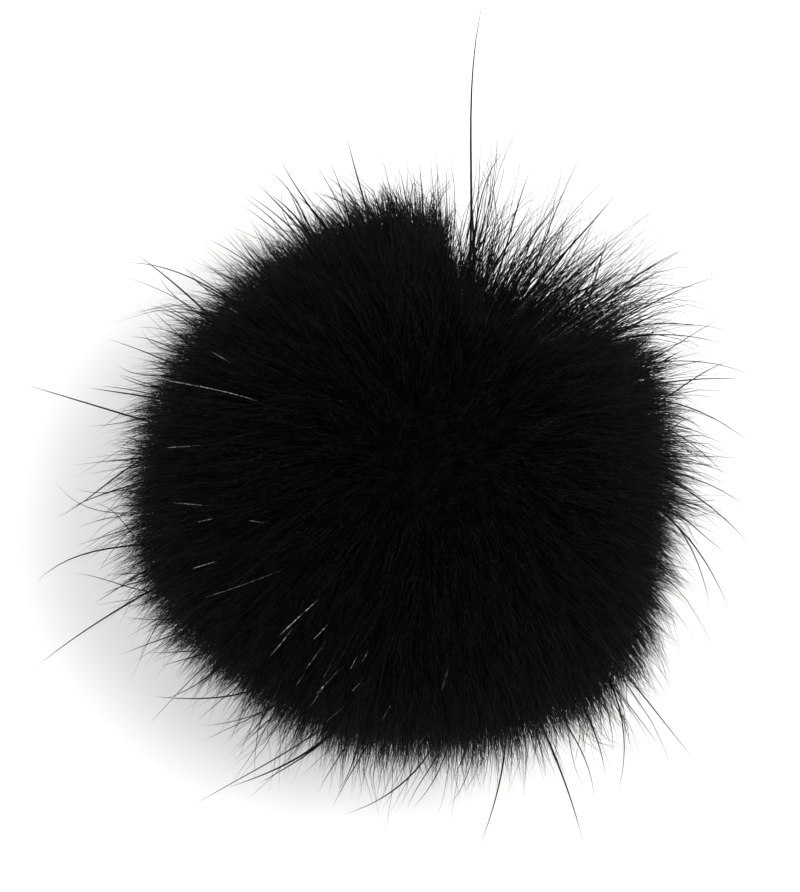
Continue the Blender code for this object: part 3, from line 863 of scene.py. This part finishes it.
    (1.0, [(19.0, 27.6), (21.6, 30.4), (23.5, 32.6), (26.6, 36.3)]),
    (0.7, [(24.0, 26.1), (24.7, 28.5), (26.0, 31.0)]),
    (0.7, [(23.3, 22.3), (28.1, 24.9), (31.7, 27.6), (35.2, 29.1)]),
]

# Hairs over the front of the ball with painted highlights: how bright each is, and its points
paintedHighlightHairs = [
    (1.0, [(-30.4, 12.8), (-26.5, 12.1), (-22.6, 11.3), (-18.0, 10.0)]),
    (0.6, [(-29.8, 4.3), (-25.2, 4.6)]),
    (1.0, [(-29.0, -2.6), (-24.4, -3.0)]),
    (1.0, [(-25.9, -5.0), (-24.0, -4.6)]),
    (0.5, [(-19.6, -4.8), (-17.4, -5.1)]),
    (0.7, [(-26.5, -10.8), (-23.5, -9.9)]),
    (0.4, [(-25.0, -14.4), (-20.1, -12.8), (-15.0, -10.8)]),
    (1.0, [(-15.6, -19.1), (-13.4, -17.0), (-10.6, -14.5)]),
    (0.7, [(-16.9, -21.8), (-15.2, -19.8), (-14.0, -18.2)]),
    (0.9, [(-11.4, -19.6), (-9.6, -17.8)]),
    (0.6, [(-12.4, -23.4), (-11.1, -21.6), (-9.9, -19.9)]),
    (0.6, [(-11.1, -26.5), (-8.2, -23.4)]),
    (0.6, [(-11.8, -28.0), (-9.9, -25.2)]),
    (0.4, [(-10.0, -30.1), (-7.4, -27.9)]),
    (0.5, [(-24.2, 16.3), (-21.8, 14.9)]),
    (0.4, [(-22.0, 21.8), (-20.5, 20.9)]),
    (0.5, [(1.1, -33.5), (3.2, -31.0)]),
    (0.4, [(-6.6, -26.1), (-5.5, -25.0)]),
    (0.4, [(-5.4, -22.6), (-4.5, -21.0)]),
    (0.4, [(4.6, -26.0), (5.5, -23.0)]),
    (0.4, [(-6.9, -23.5), (-6.0, -21.8)]),
    (0.5, [(-10.2, -24.4), (-9.2, -22.8)]),
    (0.5, [(-3.0, -30.0), (-1.6, -27.6)]),
    (0.4, [(-13.6, -25.4), (-12.6, -24.0)]),
]

paintedHighlight = {
    "over": 0.6 * mm,  # the close fur
    "halfWidth": 0.06 * mm,
    "taper": [0.3, 1.0, 1.0, 0.9, 0.6, 0.3, 0.0],
}


# A smooth curve through a few points, at evenly spaced places
def throughPoints(points, places):
    points = np.array(points)
    along = np.append(0, np.cumsum(np.linalg.norm(np.diff(points, axis=0), axis=1)))
    degree = min(len(points) - 1, 3)
    at = np.linspace(0, along[-1], places)
    return np.stack([np.polyval(np.polyfit(along, column, degree), at) for column in points.T], 1)


# The path of a stray hair: it goes on inwards from its first point to its root, and leans
# towards the view or away from it
def strayPath(points, dice):
    points = np.array(points) * mm
    back = points[0] - points[1]
    inward = back / np.linalg.norm(back) - strays["inward"] * points[0] / np.linalg.norm(points[0])
    root = points[0] + inward / np.linalg.norm(inward) * strays["rooted"]
    flat = throughPoints(np.concatenate([[root], points]), strays["places"])
    far = np.linalg.norm(flat, axis=1)
    toward = dice.uniform(-1, 1) * strays["aside"] * far / far[0]
    return inView(flat[:, 0], flat[:, 1], toward)


def makeGuards():
    dice = np.random.default_rng(41)
    ways = spread(guards["hairs"], 42, guards["disorder"])
    ways = ways[surfaceAt(ways)[:, 2] > guards["lowestRoot"]]
    count = len(ways)
    rises = np.minimum(dice.exponential(guards["rise"], count), guards["mostRise"]) + guards["lowest"]
    atSide = np.abs(depthOf(ways) - 90) < guards["sideBand"]
    rises[atSide] = np.minimum(rises[atSide], guards["sideRise"])
    lean = dice.normal(size=count) * guards["lean"]
    stray = dice.normal(size=count) * guards["stray"]
    paths = growPaths(ways, guards["rootDepth"], rises, lean, stray, len(guards["taper"]) - 1)
    tuft = nearestOf(ways, tuftWays)
    hold = guards["hold"] * dice.random(count)
    paths = restOnFloor(drawTogether(paths, tuftPaths[tuft], hold))
    stout = dice.uniform(*guards["stoutness"], (count, 1))
    halfWidths = guards["halfWidth"] * stout * np.array(guards["taper"])
    shades = dullShades(dice, hairShades["guards"], count)
    finishHair(hairMesh("guard_hairs", paths, halfWidths, shades, 43))


def makeStrays():
    dice = np.random.default_rng(45)
    paths = restOnFloor(np.stack([strayPath(points, dice) for _, points in strayHairs]))
    stout = np.array([stoutness for stoutness, _ in strayHairs])[:, None]
    along = np.linspace(0, len(strays["taper"]) - 1, strays["places"])
    taper = np.interp(along, np.arange(len(strays["taper"])), strays["taper"])
    shades = dullShades(dice, hairShades["guards"], len(paths))
    finishHair(hairMesh("stray_hairs", paths, strays["halfWidth"] * stout * taper, shades, 46))


# The hairs with painted highlights lie just over the close fur; their lighter colour stands for light
# they catch
def makePaintedHighlights():
    places = len(paintedHighlight["taper"])
    paths = []
    for _, points in paintedHighlightHairs:
        flat = throughPoints(np.array(points) * mm, places)
        over = (ball["radius"] + paintedHighlight["over"]) ** 2 - (flat**2).sum(1)
        paths.append(inView(flat[:, 0], flat[:, 1], np.sqrt(np.maximum(over, 0))))
    shades = np.interp([bright for bright, _ in paintedHighlightHairs], [0, 1], hairShades["paintedHighlight"])
    halfWidths = np.tile(paintedHighlight["halfWidth"] * np.array(paintedHighlight["taper"]), (len(paths), 1))
    finishHair(hairMesh("painted_highlight_hairs", np.stack(paths), halfWidths, shades, 44))


makeGuards()
makeStrays()
makePaintedHighlights()

# Stage 5: the floor, the lights and the camera
studio = {
    "floorSize": 3.0,
    "floorColour": (0.9, 0.9, 0.9),
    "floorFinish": {"Roughness": 0.7, "Specular IOR Level": 0.2},
    "skyColour": (1.0, 0.985, 0.965),
    "sky": 1.14,
    "keyPower": 4.0,
    "keyPlace": (0.37, 0.01, 0.86),
    "keySize": 0.36,
}


def makeFloor():
    bm = bmesh.new()
    bmesh.ops.create_grid(bm, x_segments=1, y_segments=1, size=studio["floorSize"])
    mesh = bpy.data.meshes.new("floor")
    bm.to_mesh(mesh)
    bm.free()
    material, shader, _ = newMaterial("pale_floor", studio["floorFinish"])
    shader.inputs["Base Color"].default_value = (*studio["floorColour"], 1)
    mesh.materials.append(material)
    floor = newObject("floor", mesh)


def makeLights():
    world = bpy.data.worlds.new("studio")
    world.use_nodes = True
    sky = world.node_tree.nodes["Background"]
    sky.inputs["Color"].default_value = (*studio["skyColour"], 1)
    sky.inputs["Strength"].default_value = studio["sky"]
    bpy.context.scene.world = world
    lamp = bpy.data.lights.new("key", "AREA")
    lamp.shape = "DISK"
    lamp.size = studio["keySize"]
    lamp.energy = studio["keyPower"]
    key = newObject("key", lamp)
    key.location = studio["keyPlace"]
    aim = Vector(centre) - key.location
    key.rotation_euler = aim.to_track_quat("-Z", "Y").to_euler()


def makeCamera():
    camera = bpy.data.cameras.new("camera")
    camera.lens = view["lens"]
    camera.sensor_width = view["film"]
    camera.sensor_fit = "VERTICAL"
    camera.sensor_height = view["film"]
    camera.clip_start = view["nearest"]
    made = newObject("camera", camera)
    across, up = viewMiddle
    made.location = Vector(centre + viewRight * across + viewUp * up + viewOut * viewDistance)
    made.rotation_euler = Vector(viewOut).to_track_quat("Z", "Y").to_euler()
    bpy.context.scene.camera = made
    bpy.context.scene.view_settings.view_transform = "Standard"


makeFloor()
makeLights()
makeCamera()
print("floor, lights and camera are in place")
